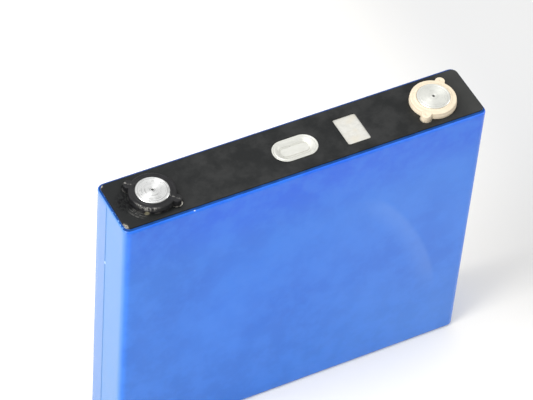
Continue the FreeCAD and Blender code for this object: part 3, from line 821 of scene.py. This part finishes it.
def ear_reach(angle, side, distance, radius):
    """How far an ear's outline lies from the terminal's axis in one direction; small away from the ears."""
    axis = side * EAR_ANGLE
    across = abs(math.sin(angle - axis)) * distance
    along = abs(math.cos(angle - axis)) * distance
    return along + math.sqrt(max(radius ** 2 - across ** 2, 0.0)) - 40 * max(across - radius, 0.0)


def terminal_opening(side):
    """The sheet's cut-out round a terminal and its two ears."""
    loop = []
    for i in range(OPENING_SIDES):
        angle = TURN * i / OPENING_SIDES
        ears = ear_reach(angle, side, EAR_OPENING_DISTANCE, EAR_OPENING_RADIUS)
        loop.append(terminal_centre(side) + polar(angle, smooth_max(RING_OPENING_RADIUS, ears, 0.3 * MM)))
    return loop


def chipped_corner(loop):
    """Frays the sheet's edge where a chip has come off it, by the front corner of the negative end."""
    chipped = []
    for point in loop:
        near = 1 - smooth_step((point - CHIP_CORNER).length, 0.8 * MM, 2.4 * MM)
        rough = 0.6 + 0.8 * noise.noise(raised(point) / (0.5 * MM))
        chipped.append(point + Vector((1.0, 0.1)) * near * max(rough, 0.0) * CHIP_DEPTH)
    return chipped


def sheet_relief(point):
    """The sheet's unevenness: a slow swell, and creases pressed round the negative terminal's near left."""
    swell = 0.03 * MM * noise.noise(raised(point) / (18 * MM))
    from_terminal = point - terminal_centre(-1)
    reach = from_terminal.length
    angle = math.degrees(math.atan2(from_terminal.y, from_terminal.x)) % 360
    band = smooth_step(reach, 9.0 * MM, 9.6 * MM) * (1 - smooth_step(reach, 11.2 * MM, 13.2 * MM))
    sector = smooth_step(angle, 172, 192) * (1 - smooth_step(angle, 236, 262))
    wave = math.sin(TURN * reach / (0.95 * MM) + 2.5 * noise.noise(raised(point) / (1.5 * MM)))
    broken = 0.5 + 0.9 * noise.noise(raised(point, 2.0) / (1.1 * MM))
    return swell + CREASE_DEPTH * band * sector * wave * max(broken, 0.0)


def inner_points(openings):
    """A staggered grid of points inside the sheet, closer together where the creases are."""
    start = SHEET_LOW.xy
    found = []
    for pitch, fine in ((COARSE_PITCH, False), (FINE_PITCH, True)):
        margin = 0.8 * pitch + SHEET_EDGE
        for row in range(int(2 * SHEET_HALF_Y / pitch)):
            for column in range(int(2 * SHEET_HALF_X / pitch)):
                stagger = 0.5 * (row % 2)
                point = start + Vector(((column + stagger + 0.5) * pitch, (row + 0.5) * pitch))
                offset = point - terminal_centre(-1)
                creased = offset.length < 13.5 * MM and offset.x < 0.5 * MM and offset.y < 4 * MM
                from_centre = point - SHEET_CENTRE
                if creased != fine or (point - CHIP_CORNER).length < 3.0 * MM:
                    continue
                if abs(from_centre.x) > SHEET_HALF_X - margin or abs(from_centre.y) > SHEET_HALF_Y - margin:
                    continue
                if not any(opening.holds(point, margin) for opening in openings):
                    found.append(point)
    return found


def sheet_face(loops, openings):
    """The sheet's plan: its points, its triangles, and the point that each outline point became."""
    surface = []
    edges = []
    for loop, inward in loops:
        start = len(surface)
        surface += offset_loop(loop, inward * SHEET_EDGE)
        edges += [(start + i, start + (i + 1) % len(loop)) for i in range(len(loop))]
    surface += inner_points(openings)
    flat, _, triangles, origins, _, _ = delaunay_2d_cdt(surface, edges, [], 1, 1e-7)
    place_of = {origin: index for index, group in enumerate(origins) for origin in group}
    kept = []
    for face in triangles:
        middle = sum((flat[i] for i in face), Vector((0, 0))) / 3
        if not any(opening.holds(middle) for opening in openings):
            kept.append(tuple(face))
    return flat, kept, place_of


def sheet_edge(points, loop, inward, above, under):
    """Adds the rounded edge and the wall along one outline to the points, and returns its faces."""
    count = len(loop)
    rows = [above]
    for share in (0.35, 0.7, 1.0):
        turn = share * TURN / 4
        row = offset_loop(loop, inward * SHEET_EDGE * (1 - math.sin(turn)))
        drop = SHEET_EDGE * (1 - math.cos(turn))
        rows.append(range(len(points), len(points) + count))
        points += [raised(p, points[i].z - drop) for p, i in zip(row, above)]
    rows.append(range(len(points), len(points) + count))
    points += [raised(p, SHEET_LOW.z + 0.02 * MM) for p in loop]
    rows.append([under + index for index in above])
    faces = []
    for upper, lower in zip(rows, rows[1:]):
        for i in range(count):
            j = (i + 1) % count
            quad = (upper[i], lower[i], lower[j], upper[j])
            faces.append(quad if inward > 0 else tuple(reversed(quad)))
    return faces


def build_sheet():
    """The black insulating sheet, with rounded edges, a chipped corner and pressed creases."""
    outline = rounded_loop(SHEET_HALF_X, SHEET_HALF_Y, SHEET_CORNER_RADIUS, SHEET_CENTRE, 16, pitch=0.5 * MM)
    vent_x = VENT_HIGH.x + VENT_GAP
    vent_y = VENT_HIGH.y + VENT_GAP
    cuts = [terminal_opening(-1), terminal_opening(1)]
    cuts.append(rounded_loop(vent_x, vent_y, vent_y - 0.01 * MM, corner_steps=24))
    cuts.append(rounded_loop(WINDOW_HALF_X, WINDOW_HALF_Y, WINDOW_RADIUS, (WINDOW_X, 0), 6))
    loops = [(chipped_corner(outline), 1)] + [(loop, -1) for loop in cuts]
    flat, triangles, place_of = sheet_face(loops, [Opening(loop) for loop in cuts])
    under = len(flat)
    points = [raised(p, SHEET_HIGH.z + sheet_relief(p) - SHEET_SINK) for p in flat]
    points += [raised(p, SHEET_LOW.z) for p in flat]
    faces = triangles + [tuple(under + i for i in reversed(face)) for face in triangles]
    start = 0
    for loop, inward in loops:
        above = [place_of[start + i] for i in range(len(loop))]
        faces += sheet_edge(points, loop, inward, above, under)
        start += len(loop)
    sheet = add_piece("insulating_sheet", points, faces, "black_sheet", 40.0)
    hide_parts("top_sheet")


# ---- terminals

def turned_profile(radius, top, base, rounding, seed):
    """A face-turned disc's section from its centre out, over its rounded rim and down: (radius, height)."""
    rng = random.Random(seed)
    profile = [(AXIS_HOLE, top - DIMPLE_DEPTH), (0.16 * MM, top - DIMPLE_DEPTH + 0.05 * MM)]
    profile += [(DIMPLE_RADIUS - 0.10 * MM, top - 0.16 * MM), (DIMPLE_RADIUS, top - 0.05 * MM)]
    profile += [(DIMPLE_RADIUS + 0.10 * MM, top - 0.012 * MM)]
    reach = DIMPLE_RADIUS + 0.22 * MM
    while reach < radius - rounding - 0.1 * MM:
        pitch = rng.uniform(0.24, 0.46) * MM
        depth = rng.uniform(0.010, 0.034) * MM
        for share, level in ((0.0, 0.0), (0.25, 0.5), (0.5, 1.0), (0.75, 0.5)):
            place = reach + share * pitch
            groove = GROOVE_DEPTH * (1 - smooth_step(abs(place - GROOVE_RADIUS), 0.05 * MM, 0.22 * MM))
            profile.append((place, top - depth * level - groove))
        reach += pitch
    rim = arc((radius - rounding, top - rounding), rounding, 90, 0, 8)
    profile += [point for point in rim if point[0] > reach]
    profile += [(radius, (top + base) / 2), (radius, base), (radius * 0.5, base), (AXIS_HOLE, base)]
    return profile


def build_disc(side, node, name, material, rounding, seed):
    """A turned terminal disc with lathe grooves, a rounded rim and a centre dimple."""
    low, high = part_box(node)
    centre = terminal_centre(side)
    profile = turned_profile((high.x - low.x) / 2, high.z, low.z, rounding, seed)
    angles = [TURN * i / DISC_SIDES for i in range(DISC_SIDES)]
    loops = [[raised(centre + polar(angle, reach), height) for angle in angles] for reach, height in profile]
    points, faces = loft(loops, flip=True)
    disc = add_piece(name, points, faces, material, 60.0)
    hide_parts(node)


def ear_dip(angle, side, reach):
    """The depth of the small round dip in an ear's top at one place of the ring."""
    along = abs(math.cos(angle - side * EAR_ANGLE))
    across = reach * math.sqrt(max(1 - along ** 2, 0.0))
    from_dip = math.hypot(across, reach * along - EAR_DISTANCE - EAR_DIP_RADIUS * 0.4)
    return EAR_DIP_DEPTH * (1 - smooth_step(from_dip, EAR_DIP_RADIUS * 0.5, EAR_DIP_RADIUS))


def ring_section(side, angle, low, high):
    """The moulded ring's section in one direction, from inside its pocket, over the top and down."""
    top = high.z
    shoulder = top - RING_LIP_HEIGHT
    spigot = low.z + RING_SPIGOT
    flange_top = spigot + RING_FLANGE_HEIGHT
    ears = ear_reach(angle, side, EAR_DISTANCE, EAR_RADIUS)
    wall = smooth_max(RING_RADIUS, ears, 0.7 * MM)
    flange = smooth_max(RING_FLANGE_RADIUS, ears + 0.06 * MM, 0.5 * MM)
    ear_share = smooth_step(ears, RING_RADIUS - 0.2 * MM, RING_RADIUS + 0.8 * MM)
    section = [(RING_POCKET_RADIUS, low.z + 2.0 * MM), (RING_POCKET_RADIUS, top - 0.12 * MM)]
    section += [(RING_POCKET_RADIUS + 0.04 * MM, top - 0.03 * MM), (RING_POCKET_RADIUS + 0.12 * MM, top)]
    sixths = [i / 6 for i in range(7)]
    section += [(RING_LIP_RADIUS + RING_LIP_HALF * (2 * share - 1),
                 top - RING_LIP_HEIGHT * smooth_step(share, 0.0, 1.0)) for share in sixths]
    shelf_start = RING_LIP_RADIUS + RING_LIP_HALF
    shelf_end = wall - RING_EDGE
    shelf_steps = 14
    for i in range(1, shelf_steps + 1):
        reach = shelf_start + (shelf_end - shelf_start) * i / shelf_steps
        drop = EAR_DROP * smooth_step(reach, RING_RADIUS - 0.4 * MM, RING_RADIUS + 0.4 * MM) * ear_share
        section.append((reach, shoulder - drop - ear_dip(angle, side, reach)))
    rounded = shoulder - EAR_DROP * ear_share
    section += [(wall - RING_EDGE * (1 - math.sin(turn)), rounded - RING_EDGE * (1 - math.cos(turn)))
                for turn in (0.4, 0.8, 1.2, TURN / 4)]
    section += [(wall + (flange - wall) * smooth_step(share, 0.0, 1.0),
                 flange_top + 0.6 * MM - 0.9 * MM * share) for share in sixths]
    section += [(flange, spigot), (RING_POCKET_RADIUS, spigot)]
    return section


def build_ring(side, node, name, material):
    """A moulded terminal ring: lip round the disc, shoulder, two ears blended in, and a foot flange."""
    low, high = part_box(node)
    centre = terminal_centre(side)
    columns = []
    for i in range(RING_SIDES):
        angle = TURN * i / RING_SIDES
        columns.append([raised(centre + polar(angle, reach), height)
                        for reach, height in ring_section(side, angle, low, high)])
    points, faces = loft([list(loop) for loop in zip(*columns)], closed=True, flip=True)
    ring = add_piece(name, points, faces, material, 40.0)
    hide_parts(node)


# ---- vent

def oval(half_x, half_y, radius, height):
    """A rounded rectangle at one height, always with the same number of points."""
    corner = min(radius, half_y - 0.001 * MM, half_x - 0.001 * MM)
    return [raised(point, height) for point in rounded_loop(half_x, half_y, corner, (0, 0), 20, (1, 12))]


def build_vent_frame():
    """The stamped vent frame: a rolled rim, a pressed line inside it and a bevel down to the panel."""
    half_x = VENT_HIGH.x
    half_y = VENT_HIGH.y
    top = VENT_HIGH.z
    base = VENT_LOW.z
    rim = ((0.0, 0.16), (0.05, 0.05), (0.16, 0.0), (0.46, 0.0), (0.55, 0.04))
    pressed_line = ((0.66, 0.17), (0.84, 0.17), (0.94, 0.05), (1.00, 0.02))
    rings = [(0.0, base)] + [(inset * MM, top - drop * MM) for inset, drop in rim + pressed_line]
    loops = [oval(half_x - inset, half_y - inset, half_y - inset, height) for inset, height in rings]
    mouth_x = half_x - VENT_MOUTH
    mouth_y = half_y - VENT_MOUTH
    for i in range(VENT_BEVEL_STEPS + 1):
        share = i / VENT_BEVEL_STEPS
        sunk = share - 0.10 * math.sin(TURN / 2 * share)
        slope = 0.5 * smooth_step(sunk, 0.0, 1.0) + 0.5 * sunk
        loops.append(oval(mouth_x + (VENT_PANEL_X - mouth_x) * share,
                          mouth_y + (VENT_PANEL_Y - mouth_y) * share,
                          mouth_y + (VENT_PANEL_RADIUS - mouth_y) * share,
                          top - VENT_BEVEL_START - (VENT_BEVEL_DEPTH - VENT_BEVEL_START) * slope))
    loops.append(oval(VENT_PANEL_X, VENT_PANEL_Y, VENT_PANEL_RADIUS, base))
    points, faces = loft(loops, closed=True)
    piece = add_piece("vent_frame_stamped", points, faces, "vent_aluminium", 50.0)
    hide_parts("vent_frame")


def build_vent_membrane():
    """The burst membrane in the frame's throat: a flat panel with a scored line round it."""
    top = MEMBRANE_HIGH.z
    reach_x = MEMBRANE_HIGH.x - 0.05 * MM
    reach_y = MEMBRANE_HIGH.y - 0.05 * MM
    rings = [(0.0, MEMBRANE_LOW.z), (0.0, top)]
    score = ((0.85, 0.0), (0.95, 0.0), (1.03, 0.22), (1.27, 0.22), (1.35, 0.0))
    panel = ((1.5, 0.0), (2.2, 0.0), (2.9, 0.0))
    rings += [(inset * MM, top - drop * MM) for inset, drop in score + panel]
    loops = [oval(reach_x - inset, reach_y - inset, reach_y - inset, height) for inset, height in rings]
    points, faces = loft(loops)
    piece = add_piece("vent_membrane_scored", points, faces, "vent_aluminium", 40.0)
    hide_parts("vent_membrane")


# ---- floor, light and camera

def add_floor():
    """A pale floor under the cell, with painted shade greying it towards +X."""
    look = Look("studio_floor", roughness=0.85)
    x, _, _ = look.axes()
    tone = look.remap(look.noise(300, 2.0), 0.3, 0.7)
    look.paint(tone, FLOOR_COLOUR, under=shade(FLOOR_COLOUR, 0.985))
    # painted shade: the floor greys towards +X, from 60 to 160 mm
    look.paint(look.band(x, 60, 160), FLOOR_SHADE_COLOUR)
    mesh = bpy.data.meshes.new("studio_floor")
    rim = [raised(polar(TURN * i / FLOOR_SIDES, FLOOR_RADIUS)) for i in range(FLOOR_SIDES)]
    mesh.from_pydata(rim, [], [tuple(range(FLOOR_SIDES))])
    mesh.materials.append(look.material)
    floor = bpy.data.objects.new("studio_floor", mesh)
    floor.location.z = -FLOOR_DROP
    bpy.context.scene.collection.objects.link(floor)


def add_sky():
    """A white surround, dimmer at the horizon than overhead."""
    world = bpy.data.worlds.new("studio_sky")
    world.use_nodes = True
    tree = world.node_tree
    background = tree.nodes["Background"]
    background.inputs["Color"].default_value = (*SKY_COLOUR, 1.0)
    coords = add_node(tree, "ShaderNodeTexCoord")
    axes = add_node(tree, "ShaderNodeSeparateXYZ", {"Vector": coords.outputs["Generated"]})
    values = {"Value": axes.outputs["Z"], "From Min": SKY_START, "From Max": SKY_END,
              "To Min": SKY_LOW, "To Max": SKY_HIGH}
    grade = add_node(tree, "ShaderNodeMapRange", values)
    tree.links.new(grade.outputs["Result"], background.inputs["Strength"])
    bpy.context.scene.world = world


def add_soft_box(name, place, aim, size, power):
    """A square soft box that faces aim; place, aim and size in millimetres, power in watts."""
    light = bpy.data.lights.new(name, "AREA")
    light.shape = "SQUARE"
    light.size = size * MM
    light.energy = power
    box = bpy.data.objects.new(name, light)
    box.location = Vector(place) * MM
    direction = (Vector(aim) - Vector(place)).normalized()
    box.rotation_euler = direction.to_track_quat("-Z", "Y").to_euler()
    bpy.context.scene.collection.objects.link(box)


def add_lights():
    """Two large soft boxes on the negative side, a small one overhead and a low one off the positive end."""
    add_soft_box("key_low", (-1100, -120, 560), (0, 0, 60), 700, 9.0)
    add_soft_box("key_high", (-700, -60, 1100), (0, 0, 60), 700, 7.0)
    add_soft_box("overhead", (110, 520, 1140), (0, 0, 126), 250, 0.65)
    add_soft_box("rim", (900, -250, 260), (74, 0, 60), 500, 2.5)


def add_camera():
    """The camera at the cell's front left, looking down on it."""
    data = bpy.data.cameras.new("camera")
    data.lens = CAMERA_LENS
    data.sensor_width = CAMERA_SENSOR
    data.clip_start = 0.05
    data.clip_end = 20.0
    camera = bpy.data.objects.new("camera", data)
    turn = Matrix.Rotation(CAMERA_AZIMUTH, 4, "Z")
    tilt = Matrix.Rotation(TURN / 4 - CAMERA_ELEVATION, 4, "X")
    lean = Matrix.Rotation(CAMERA_ROLL, 4, "Z")
    back = Matrix.Translation((0.0, 0.0, CAMERA_DISTANCE))
    camera.matrix_world = Matrix.Translation(CAMERA_AIM) @ turn @ tilt @ lean @ back
    bpy.context.scene.collection.objects.link(camera)
    bpy.context.scene.camera = camera


bpy.context.scene.view_settings.view_transform = "Standard"
dress_cad_nodes()
build_film()
build_film_lip()
build_bottom_folds()
build_sheet()
build_disc(-1, "negative_terminal_disc", "negative_disc_turned", "terminal_shaded", 0.45 * MM, 3)
build_disc(1, "positive_terminal_disc", "positive_disc_turned", "terminal_lit", 0.30 * MM, 8)
build_ring(-1, "negative_terminal_ring", "negative_ring_moulded", "black_plastic")
build_ring(1, "positive_terminal_ring", "positive_ring_moulded", "cream_plastic")
build_vent_frame()
build_vent_membrane()
add_floor()
add_sky()
add_lights()
add_camera()
